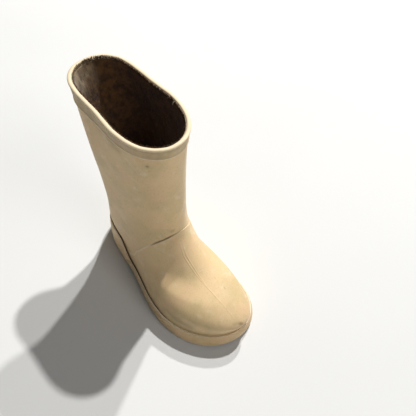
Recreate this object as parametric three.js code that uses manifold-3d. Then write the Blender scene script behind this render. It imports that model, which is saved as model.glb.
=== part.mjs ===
// A child's wellington boot for the right foot, moulded in natural rubber over a fabric lining.
// Millimetres. +X points to the toe, +Y to the inner side of the foot, +Z up. It stands on z = 0.
import * as THREE from 'three';
import { mergeVertices } from 'three/addons/utils/BufferGeometryUtils.js';
import Module from 'manifold-3d';

const wasm = await Module();
wasm.setup();

// ---- Driving dimensions ----
const SOLE_TOP_HEEL = 12.5;      // top of the sole under the foot, at the heel
const SOLE_TOP_TOE = 10;         // the same at the toe
const COLLAR_HEIGHT = 204;       // middle of the collar's rim
const COLLAR_SLOPE = 4.2;        // the rim's back stands this far over its middle, its front under it
const WALL = 2.6;                // rubber and lining together
const GAP = 0.3;                 // clearance between touching pieces

// How the plan differs between the inner and the outer side of the foot
const INNER = { waist: 4.8, pinch: 0.24, pinchAt: -0.31 };
const OUTER = { waist: 3.8, pinch: 0.25, pinchAt: -0.18 };
const WAIST_AT = -0.25;          // the waist's place, -1 at the heel and +1 at the toe
const WAIST_REACH = 0.35;
const PINCH_REACH = 0.76;        // how far the collar's pinched sides spread
const TOE_SWING = 8;             // the foot's centre line swings to the inner side towards the toe
const HEEL_SWING = 15.5;         // and towards the heel
const SWING_FROM = -0.2;         // where the centre line comes nearest to the outer side
const WAIST_Y = -3;              // and how far from the middle it is there
const COLLAR_LEAN = -5.2;        // the shaft leans to the outer side
const BALL_SAG = 1.6;            // the footbed dips under the ball of the foot
const BALL_AT = 0.4;

// Sections through the last, from the footbed to the collar. Each is cut by a plane that runs from
// a point of the back profile to a point of the front profile: [x, z].
// half: half-width at the heel and at the ball. round: squareness of the back and of the front.
const SECTIONS = [
  { back: [-102, SOLE_TOP_HEEL], front: [91.8, SOLE_TOP_TOE], half: [25.5, 43.2], round: [6, 4.3] },
  { back: [-98, 20], front: [89, 17], half: [26.6, 42], round: [5.8, 3.2] },
  { back: [-98.6, 35.5], front: [91.8, 29.5], half: [27, 39.1], round: [5.4, 2.5] },
  { back: [-100, 44], front: [73.5, 42], half: [28.6, 34.8], round: [5, 2.7] },
  { back: [-96, 59.5], front: [36.8, 52], half: [30, 29.2], round: [4, 2.4] },
  { back: [-93, 79], front: [8.2, 78.6], half: [30.8, 29], round: [3, 1.95] },
  { back: [-93.2, 100], front: [1.5, 99.6], half: [33, 29], round: [2.6, 1.9] },
  { back: [-95.2, 126], front: [1.2, 124], half: [37, 30], round: [2.3, 1.8] },
  { back: [-101, 165], front: [-1, 165.3], half: [44, 33.2], round: [2.05, 1.9] },
  {
    back: [-118, COLLAR_HEIGHT + COLLAR_SLOPE],
    front: [-1.4, COLLAR_HEIGHT - COLLAR_SLOPE],
    half: [39, 37.4],
    round: [2.9, 2.2],
  },
];
const TOP = SECTIONS.length - 1;

// Outsole
const BAND_PROUD = 2.5;          // the sole's side band stands out from the upper
const BAND_SWELL = 0.7;          // its side swells between the floor and its top edge
const HEEL_BAND = 2.65;          // the band's top, in sections: round the heel, at the waist, at the toe
const WAIST_BAND = 0.45;
const TOE_BAND = 0.6;
const TOE_SPRING = 3;
const SPRING_FROM = 42;          // x where the sole starts to rise to the toe
const TOE_X = 93;
const ARCH = { heelEnd: -46, rise: 4, flatEnd: -18, ballStart: 4 };
const GROOVE_DEPTH = 2.4;
const GROOVE_WIDTH = 4;
const TREAD_MARGIN = 7;          // uncut rim round the tread
const BALL_GROOVES = [12, 23, 34, 45, 56, 67];
const HEEL_GROOVES = [-82, -71, -60];
const GROOVE_RADIUS = 90;        // the grooves are bowed to the toe

// Collar band and insole
const COLLAR_BAND_FROM = 8.68;   // its lower edge, in sections
const COLLAR_PROUD = 1.4;
const INSOLE_THICK = 3;
const INSOLE_CLEAR = 3.5;        // the insole's edge stays inside the wall by this much

// How finely the surfaces are divided
const AROUND = 56;
const STEP = 0.01;               // for slopes of the form

const RUBBER = { color: 0xb79c70, roughness: 0.72, metalness: 0 };
const RIM_RUBBER = { color: 0xc9b08a, roughness: 0.68, metalness: 0 };
const SOLE_RUBBER = { color: 0xae9162, roughness: 0.76, metalness: 0 };
const LINING = { color: 0x5a452b, roughness: 0.95, metalness: 0 };

// ---- Small functions ----
const lerp = (a, b, k) => a + (b - a) * k;
const clamp01 = (k) => Math.min(1, Math.max(0, k));
const smooth = (k) => clamp01(k) ** 2 * (3 - 2 * clamp01(k));
const bell = (x, centre, reach) => Math.exp(-(((x - centre) / reach) ** 2));

// A curve through evenly spaced values
function through(values, t) {
  const last = values.length - 1;
  const i = Math.min(last - 1, Math.max(0, Math.floor(t)));
  const k = t - i;
  const p1 = values[i];
  const p2 = values[i + 1];
  const p0 = i > 0 ? values[i - 1] : 2 * p1 - p2;
  const p3 = i + 2 <= last ? values[i + 2] : 2 * p2 - p1;
  const slope1 = (p2 - p0) / 2;
  const slope2 = (p3 - p1) / 2;
  const k2 = k * k;
  const k3 = k2 * k;
  return (2 * k3 - 3 * k2 + 1) * p1 + (k3 - 2 * k2 + k) * slope1
    + (3 * k2 - 2 * k3) * p2 + (k3 - k2) * slope2;
}

const column = (key, index) => SECTIONS.map((section) => section[key][index]);
const COLUMNS = {
  backX: column('back', 0),
  backZ: column('back', 1),
  frontX: column('front', 0),
  frontZ: column('front', 1),
  heelHalf: column('half', 0),
  ballHalf: column('half', 1),
  backRound: column('round', 0),
  frontRound: column('round', 1),
};

function sectionAt(t) {
  const entries = Object.entries(COLUMNS).map(([name, values]) => [name, through(values, t)]);
  return Object.fromEntries(entries);
}

// ---- The form of the last: t counts sections upwards, angle goes round from the toe ----
function formPoint(t, angle) {
  const s = sectionAt(t);
  const c = Math.cos(angle);
  const side = Math.sin(angle) >= 0 ? INNER : OUTER;
  const foot = 1 - smooth((t - 2) / 4);
  const shaft = smooth((t - 5.5) / 3.5);
  const low = 1 - smooth(t / 1.6);
  const power = lerp(s.backRound, s.frontRound, smooth(c + 0.5));
  const reach = Math.sqrt(Math.max(0, 1 - Math.abs(c) ** power));
  const width = lerp(s.heelHalf, s.ballHalf, smooth((c + 0.7) / 1.3));
  const waisted = width - side.waist * bell(c, WAIST_AT, WAIST_REACH) * foot;
  const pinched = waisted * (1 - side.pinch * bell(c, side.pinchAt, PINCH_REACH) * shaft);
  const along = c - SWING_FROM;
  const swing = (along > 0 ? TOE_SWING : HEEL_SWING) * along ** 2 + WAIST_Y;
  const sag = BALL_SAG * bell(c, BALL_AT, WAIST_REACH) * low;
  return new THREE.Vector3(
    lerp(s.backX, s.frontX, (c + 1) / 2),
    Math.sign(Math.sin(angle)) * reach * pinched + swing * foot + COLLAR_LEAN * shaft,
    lerp(s.backZ, s.frontZ, (c + 1) / 2) - sag,
  );
}

// The form moved outwards along its normal by a distance, or inwards where it is negative
function offsetPoint(t, angle, distance) {
  const low = Math.max(0, t - STEP);
  const high = Math.min(TOP, t + STEP);
  const up = formPoint(high, angle).sub(formPoint(low, angle));
  const along = formPoint(t, angle + STEP).sub(formPoint(t, angle - STEP));
  const normal = along.cross(up).normalize();
  return formPoint(t, angle).addScaledVector(normal, distance);
}

// The footbed's outline moved sideways by a distance, at a height of its own
function outlinePoint(angle, distance, heightAt) {
  const along = formPoint(0, angle + STEP).sub(formPoint(0, angle - STEP));
  const normal = new THREE.Vector3(along.y, -along.x, 0).normalize();
  const point = formPoint(0, angle).addScaledVector(normal, distance);
  point.z = heightAt(point);
  return point;
}

const floorHeight = (x) => {
  const k = clamp01((x - SPRING_FROM) / (TOE_X - SPRING_FROM));
  return TOE_SPRING * k * k;
};

// ---- Meshes from rings of points ----
const ANGLES = Array.from({ length: AROUND }, (_, i) => (2 * Math.PI * i) / AROUND);
const ring = (pointAt) => ANGLES.map(pointAt);

function stitch(triangles, lower, upper) {
  for (let i = 0; i < AROUND; i += 1) {
    const j = (i + 1) % AROUND;
    triangles.push([lower[i], lower[j], upper[j]], [lower[i], upper[j], upper[i]]);
  }
}

// Closes a ring with strips that run across it, from the inner side to the outer side
function closeRing(triangles, points, faceUp) {
  const half = AROUND / 2;
  const add = (a, b, c) => triangles.push(faceUp ? [a, b, c] : [a, c, b]);
  for (let i = 0; i < half; i += 1) {
    const a = points[i];
    const b = points[i + 1];
    const c = points[(AROUND - i - 1) % AROUND];
    const d = points[(AROUND - i) % AROUND];
    if (i === 0) add(a, b, c);
    else if (i === half - 1) add(a, b, d);
    else {
      add(a, b, c);
      add(a, c, d);
    }
  }
}

function toGeometry(triangles) {
  const positions = triangles.flat().flatMap((p) => [p.x, p.y, p.z]);
  const geometry = new THREE.BufferGeometry();
  geometry.setAttribute('position', new THREE.Float32BufferAttribute(positions, 3));
  return mergeVertices(geometry, 1e-4);
}

// A tube-like solid from rings that follow each other and meet again
function tubeSolid(rings) {
  const triangles = [];
  rings.forEach((points, i) => stitch(triangles, points, rings[(i + 1) % rings.length]));
  return toGeometry(triangles);
}

// A solid from rings that go from its bottom face up to its top face
function slabSolid(rings) {
  const triangles = [];
  closeRing(triangles, rings[0], false);
  for (let i = 0; i + 1 < rings.length; i += 1) stitch(triangles, rings[i], rings[i + 1]);
  closeRing(triangles, rings[rings.length - 1], true);
  return toGeometry(triangles);
}

function toManifold(geometry) {
  const plain = geometry.clone();
  plain.deleteAttribute('normal');
  plain.deleteAttribute('uv');
  const merged = mergeVertices(plain, 1e-4);
  return new wasm.Manifold(new wasm.Mesh({
    numProp: 3,
    vertProperties: new Float32Array(merged.attributes.position.array),
    triVerts: new Uint32Array(merged.index.array),
  }));
}

function fromManifold(solid) {
  const mesh = solid.getMesh();
  const geometry = new THREE.BufferGeometry();
  geometry.setAttribute('position', new THREE.BufferAttribute(mesh.vertProperties, 3));
  geometry.setIndex(new THREE.BufferAttribute(mesh.triVerts, 1));
  return geometry;
}

function piece(name, geometry, finish) {
  geometry.computeVertexNormals();
  const mesh = new THREE.Mesh(geometry, new THREE.MeshStandardMaterial(finish));
  mesh.name = name;
  return mesh;
}

// ---- Upper: shaft and vamp moulded as one hollow wall, open at the collar and underneath ----
const OUTSIDE_STEPS = [
  0, 0.35, 0.7, 1, 1.33, 1.67, 2, 2.3, 2.6, 3, 3.35, 3.7, 4, 4.35, 4.7, 5, 5.4, 5.8, 6.2, 6.6, 7,
  7.5, 8, 8.4, 8.75, 9,
];
const INSIDE_STEPS = [
  9, 8.5, 8, 7.5, 7, 6.5, 6, 5.6, 5.2, 4.8, 4.4, 4, 3.6, 3.2, 2.8, 2.4, 2, 1.6, 1.2, 0.8, 0.4,
];

function upper() {
  const outside = OUTSIDE_STEPS.map((t) => ring((angle) => formPoint(t, angle)));
  const inside = INSIDE_STEPS.map((t) => ring((angle) => offsetPoint(t, angle, -WALL)));
  const foot = ring((angle) => outlinePoint(angle, -WALL, (p) => p.z));
  return piece('upper', tubeSolid([...outside, ...inside, foot]), RUBBER);
}

// ---- Collar band: a flat strip round the top of the shaft ----
function collarBand() {
  const steps = [COLLAR_BAND_FROM, (COLLAR_BAND_FROM + TOP) / 2, TOP];
  const outside = steps.map((t) => ring((angle) => offsetPoint(t, angle, COLLAR_PROUD)));
  const inside = steps.toReversed().map((t) => ring((angle) => offsetPoint(t, angle, GAP)));
  return piece('collar_band', tubeSolid([...outside, ...inside]), RIM_RUBBER);
}

// ---- Outsole: slab, side band and tread in one ----
// The band's top edge, in sections: high round the heel, low at the waist, middling at the toe
function bandTop(angle) {
  const c = Math.cos(angle);
  const heel = 1 - smooth((c + 0.75) / 0.5);
  const fore = smooth((c + 0.2) / 0.6);
  return WAIST_BAND + (HEEL_BAND - WAIST_BAND) * heel + (TOE_BAND - WAIST_BAND) * fore;
}

function bandSide(angle, k) {
  const foot = outlinePoint(angle, BAND_PROUD, (p) => floorHeight(p.x));
  const head = offsetPoint(bandTop(angle), angle, BAND_PROUD);
  const swell = BAND_SWELL * 4 * k * (1 - k);
  const swollen = outlinePoint(angle, BAND_PROUD + swell, () => 0);
  const still = outlinePoint(angle, BAND_PROUD, () => 0);
  return foot.lerp(head, k).add(swollen.sub(still));
}

// The cup's inner side, from the band's top edge down to the footbed
const CUP_STEPS = [1, 0.86, 0.72, 0.58, 0.44, 0.3, 0.15];

function plainSole() {
  const footbed = (p) => p.z - GAP;
  return slabSolid([
    ring((angle) => outlinePoint(angle, BAND_PROUD - 1, (p) => floorHeight(p.x))),
    ring((angle) => bandSide(angle, 0.08)),
    ring((angle) => bandSide(angle, 0.36)),
    ring((angle) => bandSide(angle, 0.68)),
    ring((angle) => bandSide(angle, 1)),
    ...CUP_STEPS.map((k) => ring((angle) => offsetPoint(bandTop(angle) * k, angle, GAP))),
    ring((angle) => outlinePoint(angle, GAP, footbed)),
  ]);
}

function archCutter() {
  const shape = new THREE.Shape();
  shape.moveTo(ARCH.heelEnd, -1);
  shape.lineTo(ARCH.heelEnd + 2, ARCH.rise - 1);
  shape.quadraticCurveTo(ARCH.heelEnd + 2.6, ARCH.rise, ARCH.heelEnd + 4, ARCH.rise);
  shape.lineTo(ARCH.flatEnd, ARCH.rise);
  shape.bezierCurveTo(ARCH.flatEnd + 9, ARCH.rise, ARCH.ballStart - 8, 0, ARCH.ballStart, 0);
  shape.lineTo(ARCH.ballStart, -1);
  const depth = 160;
  const geometry = new THREE.ExtrudeGeometry(shape, { depth, bevelEnabled: false, curveSegments: 5 });
  geometry.translate(0, 0, -depth / 2);
  geometry.rotateX(Math.PI / 2);
  return toManifold(geometry);
}

// A groove bowed to the toe, cut up from below to its depth over the sole at that place
function grooveCutter(x) {
  const centre = x - GROOVE_RADIUS;
  const spread = 0.55;
  const shape = new THREE.Shape();
  shape.absarc(centre, 0, GROOVE_RADIUS + GROOVE_WIDTH / 2, -spread, spread, false);
  shape.absarc(centre, 0, GROOVE_RADIUS - GROOVE_WIDTH / 2, spread, -spread, true);
  const depth = floorHeight(x) + GROOVE_DEPTH + 1;
  const geometry = new THREE.ExtrudeGeometry(shape, { depth, bevelEnabled: false, curveSegments: 8 });
  geometry.translate(0, 0, -1);
  return toManifold(geometry);
}

function treadArea() {
  const low = ring((angle) => outlinePoint(angle, BAND_PROUD - TREAD_MARGIN, () => -2));
  const high = ring((angle) => outlinePoint(angle, BAND_PROUD - TREAD_MARGIN, () => 8));
  return toManifold(slabSolid([low, high]));
}

function outsole() {
  const grooves = [...BALL_GROOVES, ...HEEL_GROOVES].map(grooveCutter);
  const tread = grooves.reduce((all, groove) => all.add(groove)).intersect(treadArea());
  const solid = toManifold(plainSole()).subtract(archCutter()).subtract(tread);
  return piece('outsole', fromManifold(solid), SOLE_RUBBER);
}

// ---- Insole: a loose fabric-covered sheet on the footbed ----
function insole() {
  const inset = -(WALL + INSOLE_CLEAR);
  const level = (rise) => ring((angle) => outlinePoint(angle, inset, (p) => p.z + rise));
  return piece('insole', slabSolid([level(0), level(INSOLE_THICK)]), LINING);
}

// The origin is on the floor under the middle of the boot's plan
const boot = new THREE.Group();
boot.add(outsole(), upper(), collarBand(), insole());
const extent = new THREE.Box3().setFromObject(boot);
const middle = extent.getCenter(new THREE.Vector3());
boot.position.set(-middle.x, -middle.y, -extent.min.z);

export default boot;
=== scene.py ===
"""A child's wellington boot for the right foot, in worn beige natural rubber, alone on a pale floor.

The rubber is lofted from the same sections as the CAD upper and sole, only finer, and carries the
moulded details: collar trim, ankle seam, centre line, sole lip, tread. The pile lining, its frayed
edge and the insole are added inside. Lengths are millimetres up to build_mesh(), then metres.
"""
import math

import bmesh
import bpy
import numpy as np
from mathutils import Matrix, Vector


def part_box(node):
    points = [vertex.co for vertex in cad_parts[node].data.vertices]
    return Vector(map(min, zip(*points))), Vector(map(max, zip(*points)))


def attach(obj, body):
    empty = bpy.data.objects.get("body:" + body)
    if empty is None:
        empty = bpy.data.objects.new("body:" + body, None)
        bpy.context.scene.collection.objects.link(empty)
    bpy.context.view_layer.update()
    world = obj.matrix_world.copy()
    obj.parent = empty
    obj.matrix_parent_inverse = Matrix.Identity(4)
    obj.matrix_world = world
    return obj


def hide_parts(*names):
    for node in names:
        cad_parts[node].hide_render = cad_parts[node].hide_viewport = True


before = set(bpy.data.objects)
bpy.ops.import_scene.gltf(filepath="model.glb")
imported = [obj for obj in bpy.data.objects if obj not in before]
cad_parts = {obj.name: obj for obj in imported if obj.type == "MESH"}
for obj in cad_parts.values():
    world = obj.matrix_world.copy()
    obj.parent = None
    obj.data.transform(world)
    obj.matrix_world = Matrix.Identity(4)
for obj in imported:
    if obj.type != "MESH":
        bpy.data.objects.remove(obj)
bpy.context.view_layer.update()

MM = 0.001
TAU = 2 * math.pi

# ---- Form of the boot, as in the CAD source ----
# Sections from the footbed to the collar: back x, z; front x, z; half-width at the heel and at
# the ball; squareness of the back and of the front.
SECTIONS = np.array([
    [-102, 12.5, 91.8, 10, 25.5, 43.2, 6, 4.3],
    [-98, 20, 89, 17, 26.6, 42, 5.8, 3.2],
    [-98.6, 35.5, 91.8, 29.5, 27, 39.1, 5.4, 2.5],
    [-100, 44, 73.5, 42, 28.6, 34.8, 5, 2.7],
    [-96, 59.5, 36.8, 52, 30, 29.2, 4, 2.4],
    [-93, 79, 8.2, 78.6, 30.8, 29, 3, 1.95],
    [-93.2, 100, 1.5, 99.6, 33, 29, 2.6, 1.9],
    [-95.2, 126, 1.2, 124, 37, 30, 2.3, 1.8],
    [-101, 165, -1, 165.3, 44, 33.2, 2.05, 1.9],
    [-118, 208.2, -1.4, 199.8, 39, 37.4, 2.9, 2.2],
])
TOP = len(SECTIONS) - 1
INNER = {"waist": 4.8, "pinch": 0.24, "pinch_at": -0.31}
OUTER = {"waist": 3.8, "pinch": 0.25, "pinch_at": -0.18}
WAIST_AT = -0.25
WAIST_REACH = 0.35
PINCH_REACH = 0.76
TOE_SWING = 8
HEEL_SWING = 15.5
SWING_FROM = -0.2
WAIST_Y = -3
COLLAR_LEAN = -5.2
BALL_SAG = 1.6
BALL_AT = 0.4

BAND_PROUD = 2.5
BAND_SWELL = 0.7
HEEL_BAND = 2.65
WAIST_BAND = 0.45
TOE_BAND = 0.6
TOE_SPRING = 3
SPRING_FROM = 42
TOE_X = 93

SLOPE_STEP = 0.01


def smooth(k):
    k = np.clip(k, 0, 1)
    return k * k * (3 - 2 * k)


def bell(x, centre, reach):
    return np.exp(-(((x - centre) / reach) ** 2))


def lerp(a, b, k):
    return a + (b - a) * k


def through(values, t):
    """A curve through evenly spaced values, at t."""
    values = np.asarray(values, float)
    last = len(values) - 1
    padded = np.concatenate([[2 * values[0] - values[1]], values, [2 * values[-1] - values[-2]]])
    i = np.clip(np.floor(t).astype(int), 0, last - 1)
    k = t - i
    p0, p1, p2, p3 = (padded[i + n] for n in range(4))
    slope1, slope2 = (p2 - p0) / 2, (p3 - p1) / 2
    return ((2 * k**3 - 3 * k**2 + 1) * p1 + (k**3 - 2 * k**2 + k) * slope1
            + (3 * k**2 - 2 * k**3) * p2 + (k**3 - k**2) * slope2)


def form(t, angle):
    """Points of the last: t counts sections upwards, angle goes round from the toe."""
    t, angle = np.broadcast_arrays(np.asarray(t, float), np.asarray(angle, float))
    back_x, back_z, front_x, front_z, heel, ball, back_round, front_round = (
        through(SECTIONS[:, i], t) for i in range(SECTIONS.shape[1]))
    c, s = np.cos(angle), np.sin(angle)

    def side(key):
        return np.where(s >= 0, INNER[key], OUTER[key])

    foot = 1 - smooth((t - 2) / 4)
    shaft = smooth((t - 5.5) / 3.5)
    low = 1 - smooth(t / 1.6)
    power = lerp(back_round, front_round, smooth(c + 0.5))
    reach = np.sqrt(np.clip(1 - np.abs(c) ** power, 0, None))
    width = lerp(heel, ball, smooth((c + 0.7) / 1.3))
    width = width - side("waist") * bell(c, WAIST_AT, WAIST_REACH) * foot
    width = width * (1 - side("pinch") * bell(c, side("pinch_at"), PINCH_REACH) * shaft)
    along = c - SWING_FROM
    swing = np.where(along > 0, TOE_SWING, HEEL_SWING) * along**2 + WAIST_Y
    x = lerp(back_x, front_x, (c + 1) / 2)
    y = np.sign(s) * reach * width + swing * foot + COLLAR_LEAN * shaft
    z = lerp(back_z, front_z, (c + 1) / 2) - BALL_SAG * bell(c, BALL_AT, WAIST_REACH) * low
    return np.stack([x, y, z], -1)


def tangents(t, angle):
    """Steps of the form per section upwards and per radian round."""
    low, high = np.clip(t - SLOPE_STEP, 0, TOP), np.clip(t + SLOPE_STEP, 0, TOP)
    up = (form(high, angle) - form(low, angle)) / (high - low)[..., None]
    around = (form(t, angle + SLOPE_STEP) - form(t, angle - SLOPE_STEP)) / (2 * SLOPE_STEP)
    return up, around


def unit(v):
    return v / np.linalg.norm(v, axis=-1, keepdims=True)


def offset(t, angle, distance):
    """The form moved outwards along its normal."""
    t, angle, distance = np.broadcast_arrays(
        np.asarray(t, float), np.asarray(angle, float), np.asarray(distance, float))
    up, around = tangents(t, angle)
    return form(t, angle) + unit(np.cross(around, up)) * distance[..., None]


def outline(angle, distance, height_at):
    """The footbed's outline moved sideways, at a height of its own."""
    zero = np.zeros_like(angle)
    around = form(zero, angle + SLOPE_STEP) - form(zero, angle - SLOPE_STEP)
    normal = unit(np.stack([around[..., 1], -around[..., 0], zero], -1))
    points = form(zero, angle) + normal * distance
    points[..., 2] = height_at(points)
    return points


def floor_height(points):
    k = np.clip((points[..., 0] - SPRING_FROM) / (TOE_X - SPRING_FROM), 0, 1)
    return TOE_SPRING * k * k


def band_top(angle):
    """The top edge of the sole's side band, in sections."""
    c = np.cos(angle)
    heel = 1 - smooth((c + 0.75) / 0.5)
    fore = smooth((c + 0.2) / 0.6)
    return WAIST_BAND + (HEEL_BAND - WAIST_BAND) * heel + (TOE_BAND - WAIST_BAND) * fore


def frame_shift():
    """From the form's own origin to the frame's, from where the CAD upper stands."""
    t = np.linspace(0, TOP, 91)[:, None]
    points = form(t, np.linspace(0, TAU, 361)[None])
    low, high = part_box("upper")
    middle_y = (points[..., 1].min() + points[..., 1].max()) / 2
    return np.array([low.x / MM - points[..., 0].min(), (low.y + high.y) / 2 / MM - middle_y, 0])


SHIFT = frame_shift()


# Constants that scramble a lattice point into a value
HASH_PRIMES = (73856093, 19349663, 83492791)
HASH_SEED = 2654435
HASH_FACTOR, HASH_STEP = 1103515245, 12345
SEED_SHIFT = 17.31


def noise3(points, size, seed):
    """Smooth value noise between -1 and 1 with features of about the given size."""
    q = points / size + seed * SEED_SHIFT
    base = np.floor(q).astype(np.int64)
    f = q - base
    f = f * f * (3 - 2 * f)
    total = np.zeros(points.shape[:-1])
    for corner in range(8):
        step = np.array([corner & 1, corner >> 1 & 1, corner >> 2])
        cell = base + step
        mixed = seed * HASH_SEED
        for axis, prime in enumerate(HASH_PRIMES):
            mixed = mixed ^ cell[..., axis] * prime
        value = ((mixed * HASH_FACTOR + HASH_STEP) & 0x7FFFFFFF) / 0x3FFFFFFF - 1
        weight = np.prod(np.where(step == 1, f, 1 - f), axis=-1)
        total += value * weight
    return total


# ---- Meshes from grids of points ----
def build_mesh(name, vertices, faces, attributes=None, smooth_shading=True):
    """A linked object from points in the form's millimetres; attributes hold a number per point."""
    mesh = bpy.data.meshes.new(name)
    placed = (np.asarray(vertices, float).reshape(-1, 3) + SHIFT) * MM
    mesh.from_pydata(placed.tolist(), [], faces)
    for key, values in (attributes or {}).items():
        layer = mesh.attributes.new(key, "FLOAT", "POINT")
        layer.data.foreach_set("value", np.asarray(values, np.float32).ravel())
    mesh.polygons.foreach_set("use_smooth", [smooth_shading] * len(mesh.polygons))
    mesh.validate()
    mesh.update()
    piece = bpy.data.objects.new(name, mesh)
    bpy.context.scene.collection.objects.link(piece)
    return piece


def face_outwards(mesh):
    shape = bmesh.new()
    shape.from_mesh(mesh)
    bmesh.ops.recalc_face_normals(shape, faces=shape.faces)
    shape.to_mesh(mesh)
    shape.free()


def grid_faces(rows, columns, rows_close):
    """Quads of a grid that closes round its columns, and over its rows if asked."""
    last = rows if rows_close else rows - 1
    r = np.arange(last)[:, None]
    c = np.arange(columns)[None]
    r1, c1 = (r + 1) % rows, (c + 1) % columns
    quads = [r * columns + c, r * columns + c1, r1 * columns + c1, r1 * columns + c]
    return np.stack(np.broadcast_arrays(*quads), -1).reshape(-1, 4).tolist()


def cap_faces(start, columns, face_up):
    """Strips across the ring whose points begin at start, from its inner side to its outer side."""
    faces = []
    for i in range(columns // 2):
        a, b = start + i, start + i + 1
        c, d = start + (columns - i - 1) % columns, start + (columns - i) % columns
        ends = [a, b, c] if i == 0 else [a, b, d] if i == columns // 2 - 1 else [a, b, c, d]
        faces.append(ends if face_up else ends[::-1])
    return faces


def capped_faces(grid):
    """Faces of a stack of rings that is closed below and above."""
    rings, columns = grid.shape[:2]
    faces = grid_faces(rings, columns, rows_close=False)
    faces += cap_faces(0, columns, face_up=False)
    faces += cap_faces((rings - 1) * columns, columns, face_up=True)
    return faces


# ---- Upper: outer skin with its moulded seam and centre line, and the inner side of the wall ----
COLLAR_FROM = 8.68            # lower edge of the collar's trim, in sections
UPPER_TOP = 8.93              # the wall ends under the rolled rim
RUBBER_WALL = 1.8
UPPER_COLUMNS = 236           # away from the centre line
UPPER_ROWS = 84               # below the seam, and as many above it, away from it
INNER_ROWS = 40
# The ankle seam: angle from the toe, height in sections. The last two lead the mesh round the heel.
SEAM = np.array([[0, 5.58], [0.3, 5.45], [0.6, 5.18], [0.93, 4.85], [1.27, 4.4], [1.59, 3.7],
                 [1.8, 2.7], [1.97, 1.2], [2.3, 2.9], [math.pi, 3.1]])
SEAM_END = 1.97
SEAM_SOFTNESS = 0.09
# In front it is an open groove, and further round a raised bead with a painted highlight: where they end
# and start, and how softly
GROOVE_TO, GROOVE_FADE = 0.75, 0.35
BEAD_FROM, BEAD_FADE = 0.95, 0.2
FRONT_TO, FRONT_FADE = 0.9, 0.6     # the front of the foot, as against its sides
SEAM_GROOVE, SEAM_BEAD, SEAM_LAP = 0.75, 0.5, 0.45
# The centre line down the vamp: height in sections, angle
CENTRE_LINE = np.array([[1.9, -0.13], [2.6, -0.166], [3.6, -0.185], [4.2, -0.195], [4.6, -0.205],
                        [5.05, -0.1], [5.5, -0.05]])
# Soft troughs: start, end, half-width, depth
CREASES = [
    ((10, -22, 55), (17.5, -4, 66), 1.7, 0.45),
    ((6, -26, 58), (12, -16, 64), 2.2, 0.3),
    ((88, -1.5, 34), (90.5, 4.5, 31), 0.8, 0.35),
    ((84, 7, 35.5), (90, 11, 30), 1.0, 0.3),
    ((-8, 24, 86), (8, 16, 70), 4.0, 0.9),
    ((-4, 27, 72), (14, 20, 60), 4.5, 0.8),
    ((-60, -30, 88), (-34, -31, 82), 9, 0.8),
    ((-70, 26, 96), (-30, 28, 84), 9, 0.9),
]
# Darker streaks: start, end, reach, strength
DARKER_STREAKS = [
    ((-68, -35, 200), (-44, -36, 190), 6, 0.75),
    ((-56, -35, 190), (-36, -36, 184), 4, 0.4),
    ((88, -2, 34), (91, 6, 30), 1.4, 0.9),
    ((-98, 8, 62), (-96, 4, 46), 9, 0.5),
    ((30, -38, 24), (60, -33, 22), 5, 0.5),
    ((20, 36, 26), (52, 44, 22), 6, 0.5),
]
# Dark spots: place, reach
SPOTS = [((-11.4, -24.5, 180.7), 1.3), ((-22, -29, 150), 0.8), ((-52, -31, 118), 0.7),
         ((-40, 27, 140), 1.0), ((58, 12, 46), 0.7), ((70, -14, 41), 0.8), ((-86, 20, 120), 1.1)]
# The toe cap's outer side is fuller low down and flatter on top than the plain loft
CAP_AT = -0.8
CAP_REACH = 0.65
CAP_SWELL, CAP_LOW = 1.9, 1.9
CAP_DIP, CAP_HIGH = 0.7, 3.2


def wrap(angle):
    """The same angle between half a turn back and half a turn on."""
    return (angle + math.pi) % TAU - math.pi


def seam_height(angle):
    """The ankle seam's height in sections, with its corners softened."""
    dense = np.linspace(0, math.pi, 721)
    reach = 60
    window = np.exp(-((np.arange(-reach, reach + 1) * (dense[1] - dense[0]) / SEAM_SOFTNESS) ** 2))
    heights = np.interp(dense, SEAM[:, 0], SEAM[:, 1])
    softened = np.convolve(np.pad(heights, reach, mode="reflect"), window / window.sum(), "valid")
    return np.interp(np.abs(wrap(angle)), dense, softened)


def segment_distance(points, start, end):
    """Each point's distance from a straight line, and how far along it the nearest place is."""
    start, end = np.array(start, float), np.array(end, float)
    along = end - start
    k = np.clip((points - start) @ along / (along @ along), 0, 1)
    return np.linalg.norm(points - start - k[..., None] * along, axis=-1), k


def seam_distance(t, angle, rise, run):
    """Millimetres above the ankle seam, square to it."""
    step = 0.02
    slope = (seam_height(angle + step) - seam_height(angle - step)) / (2 * step)
    return (t - seam_height(angle)) * rise / np.sqrt(1 + (slope * rise / run) ** 2)


def upper_places(t, angle, rise, run):
    """Where each point of the upper lies: shares of its regions, and mm above seam and sole."""
    around = np.abs(wrap(angle))
    return {
        "above": seam_distance(t, angle, rise, run),
        "over_band": (t - band_top(angle)) * rise,
        "open_seam": 1 - smooth((around - GROOVE_TO) / GROOVE_FADE),
        "has_seam": 1 - smooth((around - SEAM_END) / 0.05),
        "inner_front": smooth((wrap(angle) + 0.45) / 0.35),
        "front": 1 - smooth((around - FRONT_TO) / FRONT_FADE),
    }


def seam_relief(angle, places):
    """The groove in front, the bead at the sides, and the foot's rubber that laps up to both."""
    above, open_seam = places["above"], places["open_seam"]
    beaded = smooth((np.abs(wrap(angle)) - BEAD_FROM) / BEAD_FADE) * places["has_seam"]
    groove = -SEAM_GROOVE * bell(above, 0, 0.6) * open_seam * lerp(1, 0.45, places["inner_front"])
    bead = SEAM_BEAD * bell(above, 0, 0.7) * beaded
    below = np.clip(-above, 0, None)
    lap = SEAM_LAP * smooth(below / 0.9) * np.exp(-below / 10) * (open_seam + 0.6 * beaded)
    return groove + bead + lap


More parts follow.
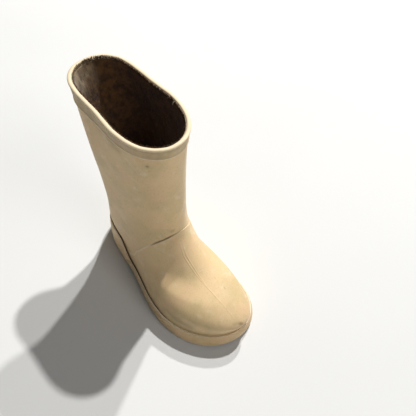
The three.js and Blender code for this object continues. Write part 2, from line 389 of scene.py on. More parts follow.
def centre_line_relief(t, angle, run):
    """Two fine ridges down the vamp that join and fade towards the toe."""
    line_at = np.interp(t, CENTRE_LINE[:, 0], CENTRE_LINE[:, 1])
    aside = wrap(angle - line_at) * run
    half_gap = 1.25 * smooth((t - 3.3) / 1.1)
    ends = smooth((t - 2.1) / 0.5) * (1 - smooth((t - 4.5) / 0.7))
    shown = ends * lerp(0.3, 1, smooth((t - 2.9) / 1.2))
    return 0.19 * (bell(aside, half_gap, 0.42) + bell(aside, -half_gap, 0.42)) * shown


def upper_relief(t, angle, points, run, places):
    """How far the moulded skin stands out from the form, in millimetres."""
    relief = seam_relief(angle, places) + centre_line_relief(t, angle, run)
    for start, end, half_width, depth in CREASES:
        distance, k = segment_distance(points, start, end)
        relief = relief - depth * bell(distance, 0, half_width) * (0.4 + 0.6 * np.sin(math.pi * k))
    filled = 0.6 * np.exp(-np.clip(places["over_band"], 0, None) / 4) * places["front"]
    cap_side = bell(wrap(angle), CAP_AT, CAP_REACH)
    fuller = cap_side * (CAP_SWELL * bell(t, CAP_LOW, 0.75) - CAP_DIP * bell(t, CAP_HIGH, 0.55))
    lumps = 0.22 * noise3(points, 42, 3) + 0.06 * noise3(points, 15, 5)
    return relief + filled + fuller + lumps * smooth((TOP - t) / 0.6)


def upper_marks(points, places):
    """Dirt and painted shade, scuffs with painted olive shade, and painted highlights on the moulding's
    edges, each from 0 to 1.
    """
    above, over_band = places["above"], places["over_band"]
    open_seam, front = places["open_seam"], places["front"]
    patchy = 0.6 + 0.5 * noise3(points, 9, 11) + 0.3 * noise3(points, 3, 12)
    # Painted shade in the open seam groove, with some dirt.
    grime_and_shade = 0.85 * bell(above, -0.1, 0.7) * open_seam * lerp(1, 0.2, places["inner_front"])
    # Painted shade just above the sole's band, broken up by noise, weaker in front.
    along_sole = lerp(0.7, 0.12, front) * np.exp(-np.clip(over_band, 0, None) / 4.5)
    grime_and_shade = grime_and_shade + along_sole * np.clip(patchy, 0, 1)
    for start, end, reach, strength in DARKER_STREAKS:
        distance, _ = segment_distance(points, start, end)
        grime_and_shade = np.maximum(grime_and_shade, strength * bell(distance, 0, reach) * np.clip(patchy * 1.2, 0, 1))
    for centre, reach in SPOTS:
        distance = np.linalg.norm(points - np.array(centre), axis=-1)
        grime_and_shade = np.maximum(grime_and_shade, 0.9 * bell(distance, 0, reach))
    # Painted highlight along the bead at the sides, and along the lip just below the open groove.
    edge = 0.9 * bell(above, 0.1, 0.55) * (1 - open_seam) * places["has_seam"]
    edge = np.maximum(edge, 0.5 * bell(above, -1.3, 0.5) * open_seam)
    scuff_and_shade = np.clip(noise3(points, 5, 21) * 1.6 - 0.75, 0, 1) * smooth((points[..., 0] - 20) / 50)
    # Painted olive shade a few millimetres above the sole's band in front, over the scuffs.
    scuff_and_shade = np.maximum(scuff_and_shade, bell(over_band, 2.5, 4) * front * np.clip(patchy + 0.3, 0, 1))
    return {"grime_and_shade": np.clip(grime_and_shade, 0, 1), "edge": np.clip(edge, 0, 1), "scuff_and_shade": np.clip(scuff_and_shade, 0, 1)}


def upper_columns():
    """Angles round the boot, close together along the centre line."""
    fine_from, fine_to, fine_step = -0.31, 0.05, 0.0068
    fine = np.arange(fine_from, fine_to, fine_step)
    rest = np.linspace(fine_to, fine_from + TAU, UPPER_COLUMNS)[:-1]
    return np.concatenate([fine, rest])


def upper_rows():
    """Shares of the way up to the seam, and from it to the rim, close together by the seam."""
    near_to = 0.034
    near = np.linspace(0, near_to, 14)
    far = near_to + (1 - near_to) * np.linspace(0, 1, UPPER_ROWS)[1:] ** 1.15
    return np.concatenate([near, far])


def make_upper():
    angle = upper_columns()[None]
    shares = upper_rows()[:, None]
    seam = seam_height(angle)
    below = seam * (1 - shares[::-1])
    above = seam + (UPPER_TOP - seam) * shares[1:]
    t = np.concatenate([below, above])
    angle = np.broadcast_to(angle, t.shape)
    up, around = tangents(t, angle)
    rise, run = np.linalg.norm(up, axis=-1), np.linalg.norm(around, axis=-1)
    points = form(t, angle)
    places = upper_places(t, angle, rise, run)
    clear_of_sole = smooth((t - band_top(angle) + 0.12) / 0.1)
    relief = upper_relief(t, angle, points, run, places) * clear_of_sole
    outer = points + unit(np.cross(around, up)) * relief[..., None]
    marks = upper_marks(points, places)

    inner_t = np.linspace(UPPER_TOP, 0.3, INNER_ROWS)[:, None]
    inner = offset(inner_t, angle[:1], -RUBBER_WALL)
    foot = outline(angle[0], -RUBBER_WALL, lambda p: p[..., 2])[None]
    inside = np.concatenate([inner, foot])
    grid = np.concatenate([outer, inside])
    blank = np.zeros(inside.shape[:2])
    attributes = {key: np.concatenate([values, blank]) for key, values in marks.items()}
    return build_mesh("upper_shell", grid, grid_faces(*grid.shape[:2], rows_close=True), attributes)


# ---- Collar trim: flat band outside, rolled rim with a painted highlight, bevel inside ----
# Outside the boot: how far out, and how far down as a share of the band's height
TRIM_SIDE = [(0.06, 1.0), (0.5, 1.02), (0.86, 1.01), (1.02, 0.965), (0.9, 0.92), (0.62, 0.87),
             (0.62, 0.75), (0.8, 0.5), (1.0, 0.3)]
# Over the rim: how far out, and how far above the form's top edge
TRIM_RIM = [(1.1, -2.2), (1.3, -1.65), (1.52, -1.1), (1.4, -0.55), (0.98, -0.15), (0.5, 0.08),
            (-0.1, 0.16), (-0.8, 0.1), (-1.35, -0.06), (-1.75, -0.34), (-1.98, -0.75), (-2.05, -1.05),
            (-2.3, -1.15), (-2.62, -1.4), (-2.78, -1.9), (-2.8, -2.5), (-2.6, -2.9), (-1.85, -2.95),
            (-1.0, -2.95), (0.06, -2.95)]
TRIM_COLUMNS = 420


def near_rim(angle, out, height):
    """A point so far out from the form, and so high over its top edge (below it where negative)."""
    angle, out, height = np.broadcast_arrays(angle, np.asarray(out, float), np.asarray(height, float))
    up, _ = tangents(np.full(angle.shape, float(TOP)), angle)
    rise = np.linalg.norm(up, axis=-1)
    t = TOP + np.minimum(height, 0) / rise
    return offset(t, angle, out) + unit(up) * np.maximum(height, 0)[..., None]


def rim_wobble(angle):
    """The worn rim isn't quite even."""
    return 0.16 * np.sin(5 * angle + 1) + 0.1 * np.sin(11 * angle) + 0.06 * np.sin(23 * angle + 2)


def make_trim():
    angle = np.linspace(0, TAU, TRIM_COLUMNS, endpoint=False)
    up, _ = tangents(np.full(angle.shape, float(TOP)), angle)
    band = (TOP - COLLAR_FROM) * np.linalg.norm(up, axis=-1)
    side = [near_rim(angle, out, -share * band) for out, share in TRIM_SIDE]
    lift = rim_wobble(angle)
    rim = [near_rim(angle, out, height + lift * smooth((height + 2.5) / 1.5))
           for out, height in TRIM_RIM]
    grid = np.stack(side + rim)
    row = np.arange(len(grid))
    row_of_rim = row - len(side)
    # Painted highlight over the rolled rim and its inner bevel.
    on_rim = smooth((row_of_rim - 1.2) / 2)
    # Painted highlight along the band's lower bead.
    on_edge = 0.8 * bell(row, 3, 1)
    # Painted shade on the band under the rolled rim and just below the rim, and a dark line along the
    # inner bevel, broken up by noise.
    under_edge = bell(row, 6.2, 2)
    under_rim = bell(row_of_rim, -0.2, 0.8)
    line = bell(row_of_rim, 11.4, 0.8)
    patchy = np.clip(0.75 + 0.5 * noise3(grid, 7, 31) + 0.3 * noise3(grid, 2.4, 32), 0, 1)
    grime_and_shade = (0.35 * under_edge + 0.6 * under_rim + 0.8 * line)[:, None] * patchy
    attributes = {
        "rim": np.broadcast_to(on_rim[:, None], patchy.shape),
        "edge": np.broadcast_to(on_edge[:, None], patchy.shape),
        "grime_and_shade": grime_and_shade,
        "scuff_and_shade": np.zeros(patchy.shape),
    }
    return build_mesh("collar_trim", grid, grid_faces(*grid.shape[:2], rows_close=True), attributes)


# ---- Outsole: slab, side band with its lip, cup, arch and bowed tread grooves ----
SOLE_COLUMNS = 360
# Over the band's top edge: how far out, how far above it
LIP = [(2.5, -0.55), (2.42, -0.12), (2.18, 0.14), (1.85, 0.2), (1.5, 0.12), (1.25, -0.15), (1.12, -0.6),
       (1.05, -1.4), (0.85, -1.9), (0.35, -2.0)]
GROOVE_EDGE = 1.3             # the lip ends and the groove beside the upper starts here
FRONT_LIP_RISE = 0.9          # the lip is higher round the toe, where the groove all but closes
SIDE_ROWS = (0.02, 0.05, 0.1, 0.2, 0.32, 0.45, 0.58, 0.7, 0.82, 0.92)
CUP_ROWS = (0.75, 0.5, 0.25, 0.08)
CUP_OUT = 0.3                 # the cup's inside stands this far out from the form
ARCH = {"heel_end": -46, "rise": 4, "flat_end": -18, "ball_start": 4}
GROOVE_DEPTH = 2.4
GROOVE_WIDTH = 4
TREAD_MARGIN = 7
BALL_GROOVES = [12, 23, 34, 45, 56, 67]
HEEL_GROOVES = [-82, -71, -60]
GROOVE_RADIUS = 90


def band_side(angle, k):
    """A ring of the side band, at the share k of the way up."""
    foot = outline(angle, BAND_PROUD, floor_height)
    head = offset(band_top(angle), angle, BAND_PROUD)
    out = outline(angle, 1, floor_height) - outline(angle, 0, floor_height)
    drawn_in = 0.55 * np.exp(-k / 0.035)
    return lerp(foot, head, k) + out * (BAND_SWELL * 4 * k * (1 - k) - drawn_in)


def make_sole():
    angle = np.linspace(0, TAU, SOLE_COLUMNS, endpoint=False)
    top = band_top(angle)
    up, _ = tangents(top, angle)
    rise = np.linalg.norm(up, axis=-1)
    rings = [outline(angle, BAND_PROUD - inset, floor_height) for inset in (1.8, 0.9)]
    rings += [band_side(angle, k) for k in SIDE_ROWS]
    lip_from = len(rings)
    openness = lerp(0.08, 1, smooth((np.abs(wrap(angle) + 0.1) - 0.8) / 0.9))
    for out, height in LIP:
        narrowed = out if out > GROOVE_EDGE else lerp(0.9, out, openness)
        rings.append(offset(top + (height + FRONT_LIP_RISE * (1 - openness)) / rise, angle, narrowed))
    groove_floor = top + LIP[-1][1] / rise
    rings += [offset(groove_floor * k, angle, CUP_OUT) for k in CUP_ROWS]
    rings += [outline(angle, CUP_OUT, lambda p: p[..., 2] - 0.3)]
    grid = np.stack(rings)
    row = np.arange(len(rings))
    # Painted highlight along the lip, and a fainter one along the band's rounded foot.
    on_lip = 1.2 * bell(row - lip_from, 3, 2.2)
    # Painted shade in the groove beside the upper and inside the cup.
    in_groove = smooth((row - lip_from - 5.6) / 1.5)
    foot_edge = 0.35 * bell(row, 3, 1.2)
    patchy = np.clip(0.7 + 0.5 * noise3(grid, 8, 41) + 0.4 * noise3(grid, 2.5, 42), 0, 1)
    attributes = {
        "edge": np.clip((on_lip + foot_edge)[:, None] * (0.75 + 0.35 * patchy), 0, 1),
        # Darker towards the bottom of the band, broken up by noise.
        "grime_and_shade": np.clip(in_groove[:, None] + 0.3 * patchy * smooth((4 - row) / 3)[:, None], 0, 1),
        "scuff_and_shade": np.clip(noise3(grid, 4, 43) * 1.5 - 0.7, 0, 1),
    }
    sole = build_mesh("outsole_rubber", grid, capped_faces(grid), attributes)
    cut(sole, tread_cutters())
    return sole


def prism(outline_points, low, high, axis):
    """A closed prism over an outline: along z, or along y for an outline in x and z."""
    count = len(outline_points)
    levels = []
    for level in (low, high):
        levels += [(u, v, level) if axis == "z" else (u, level, v) for u, v in outline_points]
    faces = [list(range(count)), list(range(2 * count - 1, count - 1, -1))]
    faces += [[i, i + count, (i + 1) % count + count, (i + 1) % count] for i in range(count)]
    return levels, faces


def arch_outline():
    """The hollow between heel and ball, in x and z: a steep heel breast, then a soft slope."""
    end, rise, flat, ball = (ARCH[key] for key in ("heel_end", "rise", "flat_end", "ball_start"))
    points = [(end, -1), (end + 2, rise - 1), (end + 2.6, rise - 0.25), (end + 4, rise), (flat, rise)]
    points += [(lerp(flat, ball, k), rise * (1 - smooth(k))) for k in np.linspace(0.1, 1, 12)]
    return [(float(x), float(z)) for x, z in points] + [(ball, -1)]


def groove_outline(x):
    """A groove bowed to the toe, as far as the tread's margin on both sides."""
    round_sole = np.linspace(-math.pi, math.pi, 721)
    edge = outline(round_sole, BAND_PROUD - TREAD_MARGIN, floor_height)
    inner = edge[round_sole > 0][::-1]
    outer = edge[round_sole < 0]
    bow = np.linspace(-0.6, 0.6, 241)
    arc_x = x - GROOVE_RADIUS + GROOVE_RADIUS * np.cos(bow)
    arc_y = GROOVE_RADIUS * np.sin(bow)
    kept = bow[(arc_y < np.interp(arc_x, inner[:, 0], inner[:, 1]))
               & (arc_y > np.interp(arc_x, outer[:, 0], outer[:, 1]))]
    bend = np.linspace(kept[0], kept[-1], 24)
    centre_x = x - GROOVE_RADIUS
    sides = []
    for turn in (1, -1):
        radius = GROOVE_RADIUS + turn * GROOVE_WIDTH / 2
        sides += [(centre_x + radius * math.cos(b), radius * math.sin(b)) for b in bend[::turn]]
    return sides


def tread_cutters():
    """Arch and tread grooves, as one mesh of closed bodies."""
    bodies = [prism(arch_outline(), -90, 90, "y")]
    for x in BALL_GROOVES + HEEL_GROOVES:
        depth = float(floor_height(np.array([x, 0, 0]))) + GROOVE_DEPTH
        bodies.append(prism(groove_outline(x), -1, depth, "z"))
    vertices, faces = [], []
    for body_vertices, body_faces in bodies:
        start = len(vertices)
        vertices += body_vertices
        faces += [[i + start for i in face] for face in body_faces]
    cutter = build_mesh("tread_cutters", vertices, faces, smooth_shading=False)
    face_outwards(cutter.data)
    return cutter


def cut(piece, cutter):
    """Cuts the cutter out of the piece and removes it; flat faces stay flat beside round ones."""
    boolean = piece.modifiers.new("cut", "BOOLEAN")
    boolean.operation = "DIFFERENCE"
    boolean.solver = "EXACT"
    boolean.use_self = True
    boolean.object = cutter
    depsgraph = bpy.context.evaluated_depsgraph_get()
    cut_mesh = bpy.data.meshes.new_from_object(piece.evaluated_get(depsgraph))
    piece.modifiers.clear()
    piece.data = cut_mesh
    bpy.data.objects.remove(cutter)
    cut_mesh.polygons.foreach_set("use_smooth", [True] * len(cut_mesh.polygons))
    cut_mesh.set_sharp_from_angle(angle=math.radians(38))


# ---- Lining, insole and loose fibres ----
LINING_COLUMNS = 420
LINING_ROWS = 90
LINING_TOP = -3.05            # over the form's top edge
LINING_FOOT = 0.34            # in sections
LINING_OUT = -1.86            # its two faces, out from the form
LINING_IN = -2.9
PILE = 0.25                   # the middle of the pile's height on its inner face
WORN_AT = -2.75               # the rubbed place inside the back of the collar: angle, reach
WORN_REACH = 0.34
WORN_DOWN, WORN_DEPTH = 7, 13
TUFTS_AT_RIM = 2000
TUFTS_BELOW = 4200
TUFT_SIDES = 3


def worn_patch(angle, down):
    """How worn the pile is, from 0 to 1, at an angle and so far below the top edge."""
    return bell(wrap(angle - WORN_AT), 0, WORN_REACH) * bell(down, WORN_DOWN, WORN_DEPTH)


def make_lining():
    angle = np.linspace(0, TAU, LINING_COLUMNS, endpoint=False)[None]
    share = np.linspace(0, 1, LINING_ROWS)[:, None] ** 1.3
    up, _ = tangents(np.full(angle.shape, float(TOP)), angle)
    rise = np.linalg.norm(up, axis=-1)
    top = TOP + LINING_TOP / rise
    t = lerp(top, LINING_FOOT, share)
    base = form(t, angle)
    pile = 0.28 * noise3(base, 1.3, 51) + 0.3 * noise3(base, 5, 52) + 0.5 * noise3(base, 16, 53)
    full_below_rim = smooth(share * 30 + 0.3)
    inner = offset(t, angle, LINING_IN - PILE + np.clip(pile, -0.5, 0.5) * full_below_rim)
    outer = offset(t[::-1], angle, LINING_OUT)
    grid = np.concatenate([inner, outer])
    worn = worn_patch(angle, (TOP - t) * rise)
    worn = np.clip(worn * (0.9 + 0.7 * noise3(base, 4, 54)), 0, 1)
    attributes = {"worn": np.concatenate([worn, np.zeros(t.shape)])}
    return build_mesh("pile_lining", grid, grid_faces(*grid.shape[:2], rows_close=True), attributes)


def make_tufts():
    """Short fibres on the pile: a fringe against the rim, and a nap further down."""
    rng = np.random.default_rng(7)
    count = TUFTS_AT_RIM + TUFTS_BELOW
    at_rim = np.arange(count) < TUFTS_AT_RIM

    def between(rim_range, below_range):
        """A random number per tuft, from one range at the rim and from the other below it."""
        return np.where(at_rim, rng.uniform(*rim_range, count), rng.uniform(*below_range, count))

    angles = rng.uniform(0, TAU, count)
    down_or_share = between((1.0, 2.9), (0, 1))
    down = np.where(at_rim, down_or_share, 3 + 38 * down_or_share ** 1.6)
    length = between((0.9, 2.5), (0.6, 1.5))
    out = np.where(at_rim, LINING_IN - 0.05, LINING_IN + 0.05)
    root = near_rim(angles, out, -down)
    beyond = near_rim(angles, out - 0.6, -down)
    higher = near_rim(angles, out, -down + 1)
    beside = near_rim(angles + 0.01, out, -down)
    inward, upward, sideways = unit(beyond - root), unit(higher - root), unit(beside - root)
    lean_in = between((-0.3, 0.3), (0.15, 0.9))[:, None]
    lean_side = rng.normal(0, 0.45, count)[:, None]
    tip = root + unit(upward * 0.8 + inward * lean_in + sideways * lean_side) * length[:, None]
    thickness = between((0.2, 0.42), (0.12, 0.26))[:, None]
    corners = []
    for turn in range(TUFT_SIDES):
        bearing = TAU * turn / TUFT_SIDES
        corners.append(root + thickness * (math.cos(bearing) * sideways + math.sin(bearing) * inward))
    grid = np.stack(corners + [tip], 1)
    first = np.arange(count)[:, None] * (TUFT_SIDES + 1)
    one_tuft = ([0, 1, 3], [1, 2, 3], [2, 0, 3], [2, 1, 0])
    faces = np.concatenate([first + np.array(face)[None] for face in one_tuft]).tolist()
    shades = rng.uniform(0.5, 1.2, count)[:, None]
    worn = np.repeat(worn_patch(angles, down)[:, None] * shades, TUFT_SIDES + 1, axis=1)
    return build_mesh("pile_fibres", grid, faces, {"worn": np.clip(worn, 0, 1)}, smooth_shading=False)


# The insole's rings: its underside, how far out and over the footbed; its side, in sections and how
# far out; its top, how far out
INSOLE_UNDER = [(-4.4, 0.1), (-3.8, 0.5)]
INSOLE_SIDE = [(0.14, -3.6), (0.24, -3.7), (0.32, -4.1), (0.36, -4.8)]
INSOLE_TOP = (-6, -8)
INSOLE_THICKNESS = 2.9


def make_insole():
    angle = np.linspace(0, TAU, SOLE_COLUMNS, endpoint=False)

    def flat_ring(out, height):
        return outline(angle, out, lambda p: p[..., 2] + height)

    rings = [flat_ring(out, height) for out, height in INSOLE_UNDER]
    rings += [offset(np.full(angle.shape, t), angle, out) for t, out in INSOLE_SIDE]
    rings += [flat_ring(out, INSOLE_THICKNESS) for out in INSOLE_TOP]
    grid = np.stack(rings)
    return build_mesh("insole_cloth", grid, capped_faces(grid))


# Frayed threads: angle round the collar, how far below the rim, length, lean to the side
THREADS = [(1.21, 4.5, 6.5, 0.6), (1.32, 3.5, 3.2, -0.8), (-2.55, 4.0, 3.5, 0.7), (2.9, 3.2, 2.6, -0.4),
           (0.62, 3.6, 2.4, 0.9), (-1.2, 3.3, 2.2, 0.5), (1.15, 9.0, 3.0, -1.2)]
THREAD_SIDES = 5
THREAD_STEPS = 9
THREAD_RADIUS = 0.3


def thread_rings(at, below, length, lean):
    """Points round one curling, tapering thread, ring after ring."""
    angle = np.array([at])
    root = near_rim(angle, LINING_IN + 0.1, -below)[0]
    inward = unit(near_rim(angle, LINING_IN - 1, -below)[0] - root)
    upward = unit(near_rim(angle, LINING_IN, -below + 1)[0] - root)
    sideways = np.cross(upward, inward)
    points = []
    for k in np.linspace(0, 1, THREAD_STEPS):
        way = upward * 0.55 * math.sin(2.6 * k) + inward * 0.42 * k * k + sideways * lean * 0.5 * k
        radius = THREAD_RADIUS * (1 - 0.6 * k)
        for j in range(THREAD_SIDES):
            bearing = TAU * j / THREAD_SIDES
            aside = math.cos(bearing) * sideways + math.sin(bearing) * inward
            points.append(root + length * way + radius * aside)
    return points


def make_threads():
    vertices, faces = [], []
    for thread in THREADS:
        start = len(vertices)
        vertices += thread_rings(*thread)
        for i in range(THREAD_STEPS - 1):
            ring = start + i * THREAD_SIDES
            for j in range(THREAD_SIDES):
                a, b = ring + j, ring + (j + 1) % THREAD_SIDES
                faces.append([a, b, b + THREAD_SIDES, a + THREAD_SIDES])
        faces.append(list(range(start, start + THREAD_SIDES))[::-1])
        last = start + (THREAD_STEPS - 1) * THREAD_SIDES
        faces.append(list(range(last, last + THREAD_SIDES)))
    threads = build_mesh("frayed_threads", vertices, faces, smooth_shading=False)
    face_outwards(threads.data)
    return threads


# ---- Materials ----
def srgb(red, green, blue):
    """A colour given in 0 to 255 as shown on a screen, as linear light."""
    def linear(value):
        value /= 255
        return value / 12.92 if value <= 0.04045 else ((value + 0.055) / 1.055) ** 2.4
    return (linear(red), linear(green), linear(blue), 1)


class Nodes:
    """Short ways to add shader nodes to one material."""

    def __init__(self, name):
        self.material = bpy.data.materials.new(name)
        self.material.use_nodes = True
        self.tree = self.material.node_tree
        self.shader = self.tree.nodes["Principled BSDF"]
        coordinates = self.tree.nodes.new("ShaderNodeTexCoord")
        self.place = coordinates.outputs["Object"]

    def link(self, source, target):
        if hasattr(source, "is_output"):
            self.tree.links.new(source, target)
        else:
            target.default_value = source

    def noise(self, scale, detail=4, roughness=0.55, distortion=0):
        node = self.tree.nodes.new("ShaderNodeTexNoise")
        node.inputs["Scale"].default_value = scale
        node.inputs["Detail"].default_value = detail
        node.inputs["Roughness"].default_value = roughness
        node.inputs["Distortion"].default_value = distortion
        self.link(self.place, node.inputs["Vector"])
        return node.outputs["Fac"]

    def cells(self, scale):
        node = self.tree.nodes.new("ShaderNodeTexVoronoi")
        node.inputs["Scale"].default_value = scale
        self.link(self.place, node.inputs["Vector"])
        return node.outputs["Distance"]

    def range(self, value, low, high, to_low=0, to_high=1):
        node = self.tree.nodes.new("ShaderNodeMapRange")
        node.interpolation_type = "SMOOTHSTEP"
        self.link(value, node.inputs["Value"])
        limits = {"From Min": low, "From Max": high, "To Min": to_low, "To Max": to_high}
        for name, number in limits.items():
            node.inputs[name].default_value = number
        return node.outputs["Result"]

    def mark(self, name, strength=1):
        """A number that the mesh carries per point, times a strength."""
        attribute = self.tree.nodes.new("ShaderNodeAttribute")
        attribute.attribute_name = name
        if strength == 1:
            return attribute.outputs["Fac"]
        product = self.tree.nodes.new("ShaderNodeMath")
        product.operation = "MULTIPLY"
        product.use_clamp = True
        self.link(attribute.outputs["Fac"], product.inputs[0])
        self.link(strength, product.inputs[1])
        return product.outputs[0]

    def mix(self, share, first, second):
        node = self.tree.nodes.new("ShaderNodeMix")
        node.data_type = "RGBA"
        self.link(share, node.inputs["Factor"])
        self.link(first, node.inputs[6])
        self.link(second, node.inputs[7])
        return node.outputs[2]

    def bump(self, height, strength, distance, normal=None):
        node = self.tree.nodes.new("ShaderNodeBump")
        node.inputs["Strength"].default_value = strength
        node.inputs["Distance"].default_value = distance
        self.link(height, node.inputs["Height"])
        if normal is not None:
            self.link(normal, node.inputs["Normal"])
        return node.outputs["Normal"]

    def finish(self, colour, roughness, normal, **constants):
        self.link(colour, self.shader.inputs["Base Color"])
        self.link(roughness, self.shader.inputs["Roughness"])
        self.link(normal, self.shader.inputs["Normal"])
        for name, value in constants.items():
            self.shader.inputs[name.replace("_", " ")].default_value = value
        return self.material


def rubber(name, base, olive, pink, pale, grime_and_shade, bloom, has_rim=False):
    """Bloomed natural rubber: mottled in broad soft patches, with a fine speckle and light grime.

    The mesh's own marks come last: painted highlights on its rim and edges, scuffs with some painted
    olive shade, and dirt with painted shade.
    """
    n = Nodes(name)
    broad, middling, fine = n.noise(26, 5, 0.6, 0.4), n.noise(90, 5, 0.6), n.noise(900, 3, 0.6)
    colour = n.mix(n.range(broad, 0.42, 0.66, 0, 0.75), base, olive)
    colour = n.mix(n.range(n.noise(34, 4, 0.55), 0.5, 0.68, 0, 0.55), colour, pink)
    colour = n.mix(n.range(middling, 0.55, 0.75, 0, bloom), colour, pale)
    colour = n.mix(n.range(n.noise(60, 6, 0.7), 0.6, 0.74, 0, 0.4), colour, grime_and_shade)
    colour = n.mix(n.range(fine, 0.56, 0.75, 0, 0.35), colour, grime_and_shade)
    colour = n.mix(n.range(n.cells(420), 0.0, 0.16, 0.35, 0), colour, pale)
    # Painted highlights from the rim and edge marks; painted shade within the scuff and dirt marks.
    if has_rim:
        colour = n.mix(n.mark("rim", 0.75), colour, pale)
    colour = n.mix(n.mark("edge", 0.9), colour, pale)
    colour = n.mix(n.mark("scuff_and_shade", 0.5), colour, olive)
    colour = n.mix(n.mark("grime_and_shade", 0.9), colour, grime_and_shade)
    roughness = n.range(n.noise(140, 4), 0.3, 0.7, 0.5, 0.72)
    grain = n.bump(n.noise(1500, 3), 0.12, 0.0002)
    normal = n.bump(n.noise(210, 4), 0.16, 0.0006, grain)
    return n.finish(colour, roughness, normal, Specular_IOR_Level=0.45, IOR=1.5,
                    Sheen_Weight=0.1, Sheen_Roughness=0.5)


def cloth(name, dark, light, patchy_scale, worn=None):
    """Brushed cloth in soft patches, with a worn colour where its mesh is marked worn."""
    n = Nodes(name)
    colour = n.mix(n.range(n.noise(patchy_scale, 5, 0.65), 0.35, 0.65), dark, light)
    colour = n.mix(n.range(n.noise(1400, 2), 0.45, 0.7, 0, 0.5), colour, dark)
    if worn is not None:
        colour = n.mix(n.mark("worn"), colour, worn)
    normal = n.bump(n.noise(1800, 4, 0.7), 0.7, 0.0005)
    return n.finish(colour, n.range(n.noise(300, 2), 0.3, 0.7, 0.85, 1.0), normal,
                    Specular_IOR_Level=0.15, Sheen_Weight=0.25, Sheen_Roughness=0.6)


# Besides their own mottling, the pale colours paint the highlights on rim, beads and lips, and the
# darkest colours paint shade in grooves, under the rim and along the sole.
UPPER_RUBBER = rubber("upper_rubber", srgb(227, 197, 150), srgb(204, 182, 134), srgb(226, 189, 149),
                      srgb(238, 218, 186), srgb(124, 104, 70), bloom=0.5)
TRIM_RUBBER = rubber("trim_rubber", srgb(210, 185, 142), srgb(190, 170, 126), srgb(212, 180, 142),
                     srgb(246, 226, 192), srgb(118, 98, 68), bloom=0.3, has_rim=True)
SOLE_RUBBER = rubber("sole_rubber", srgb(222, 190, 142), srgb(200, 172, 124), srgb(222, 186, 142),
                     srgb(250, 238, 214), srgb(84, 66, 44), bloom=0.3)
PILE_CLOTH = cloth("pile_lining", srgb(62, 37, 14), srgb(104, 70, 33), 160, worn=srgb(162, 142, 110))
INSOLE_CLOTH = cloth("insole_cloth", srgb(70, 52, 32), srgb(104, 80, 52), 120)
THREAD_CLOTH = cloth("pale_thread", srgb(170, 152, 124), srgb(206, 190, 164), 300)


def dress(piece, material):
    piece.data.materials.clear()
    piece.data.materials.append(material)


# ---- The boot ----
def add_boot():
    # Piece, material, slot and the CAD node that it replaces
    pieces = [
        (make_upper(), UPPER_RUBBER, "upper_rubber", "upper"),
        (make_trim(), TRIM_RUBBER, "rim_rubber", "collar_band"),
        (make_sole(), SOLE_RUBBER, "sole_rubber", "outsole"),
        (make_insole(), INSOLE_CLOTH, "lining", "insole"),
        (make_lining(), PILE_CLOTH, "lining", None),
        (make_tufts(), PILE_CLOTH, "lining", None),
        (make_threads(), THREAD_CLOTH, "lining", None),
    ]
    for piece, material, slot, replaced in pieces:
        dress(piece, material)
        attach(piece, "root")
        if replaced:
            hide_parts(replaced)


# ---- Floor, lights and camera ----
AIM = np.array([0.0, 20.0, 90.0])
FLOOR_SIDE = 6.0              # metres, as are the lights' distance and sizes
LIGHT_DISTANCE = 4.0
BULB_WHITE = (1.0, 0.995, 0.988)
KEY_DIRECTION = (-0.207, 0.479, 0.853)


def place(point):
    """A point of the form's millimetres, in the frame's metres."""
    return Vector(((np.asarray(point, float) + SHIFT) * MM).tolist())


def add_floor():
    mesh = bpy.data.meshes.new("floor")
    half = FLOOR_SIDE / 2
    corners = [(-half, -half, 0), (half, -half, 0), (half, half, 0), (-half, half, 0)]
    mesh.from_pydata(corners, [], [(0, 1, 2, 3)])
    floor = bpy.data.objects.new("floor", mesh)
    bpy.context.scene.collection.objects.link(floor)
    n = Nodes("floor_paper")
    colour = n.mix(n.range(n.noise(3, 2), 0.3, 0.7), srgb(219, 219, 217), srgb(222, 222, 220))
    dress(floor, n.finish(colour, 0.9, n.bump(n.noise(700, 2), 0.03, 0.0002), Specular_IOR_Level=0.1))


def direction(azimuth, elevation):
    """The way towards an azimuth and an elevation in degrees, of length one."""
    azimuth, elevation = math.radians(azimuth), math.radians(elevation)
    level = math.cos(elevation)
    return (math.cos(azimuth) * level, math.sin(azimuth) * level, math.sin(elevation))


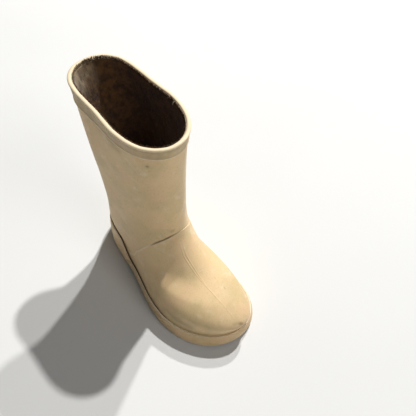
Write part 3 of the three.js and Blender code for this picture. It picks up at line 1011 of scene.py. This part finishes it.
def add_light(name, toward, size, power, colour):
    data = bpy.data.lights.new(name, "AREA")
    data.shape = "DISK"
    data.size = size
    data.energy = power
    data.color = colour
    light = bpy.data.objects.new(name, data)
    bpy.context.scene.collection.objects.link(light)
    toward = Vector(toward).normalized()
    light.location = place(AIM) + toward * LIGHT_DISTANCE
    light.rotation_euler = toward.to_track_quat("Z", "Y").to_euler()


def add_world(colour, strength):
    world = bpy.data.worlds.new("soft_studio")
    bpy.context.scene.world = world
    world.use_nodes = True
    background = world.node_tree.nodes["Background"]
    background.inputs["Color"].default_value = colour
    background.inputs["Strength"].default_value = strength


def add_camera():
    """The camera stands high at the outer front, with a small roll and a small turn of its aim."""
    azimuth, elevation, distance = -45.959, 53.373, 425.052
    focal_pixels, frame_pixels, sensor = 448.78, 416, 36
    roll, turn, tip = (math.radians(value) for value in (6.058, 1.7743, 1.3108))
    back = np.array(direction(azimuth, elevation))
    location = AIM + back * distance
    right = unit(np.cross([0, 0, 1], back))
    up = np.cross(back, right)
    rolled = right * math.cos(roll) + up * math.sin(roll)
    upright = -right * math.sin(roll) + up * math.cos(roll)
    turned = rolled * math.cos(turn) + back * math.sin(turn)
    back = -rolled * math.sin(turn) + back * math.cos(turn)
    tipped = upright * math.cos(tip) + back * math.sin(tip)
    back = -upright * math.sin(tip) + back * math.cos(tip)
    data = bpy.data.cameras.new("camera")
    data.sensor_width = sensor
    data.lens = focal_pixels / frame_pixels * sensor
    data.clip_start = 0.01
    camera = bpy.data.objects.new("camera", data)
    bpy.context.scene.collection.objects.link(camera)
    axes = Matrix((turned, tipped, back)).transposed().to_4x4()
    camera.matrix_world = Matrix.Translation(place(location)) @ axes
    bpy.context.scene.camera = camera


add_camera()
add_boot()
add_floor()
add_light("key", KEY_DIRECTION, size=0.12, power=118, colour=BULB_WHITE)
add_light("second", direction(120.4, 48), size=0.12, power=88, colour=BULB_WHITE)
add_light("front_fill", direction(8, 42), size=2.2, power=33, colour=(1, 1, 1))
add_world(colour=(1, 1, 1, 1), strength=0.12)
bpy.context.scene.view_settings.view_transform = "Standard"
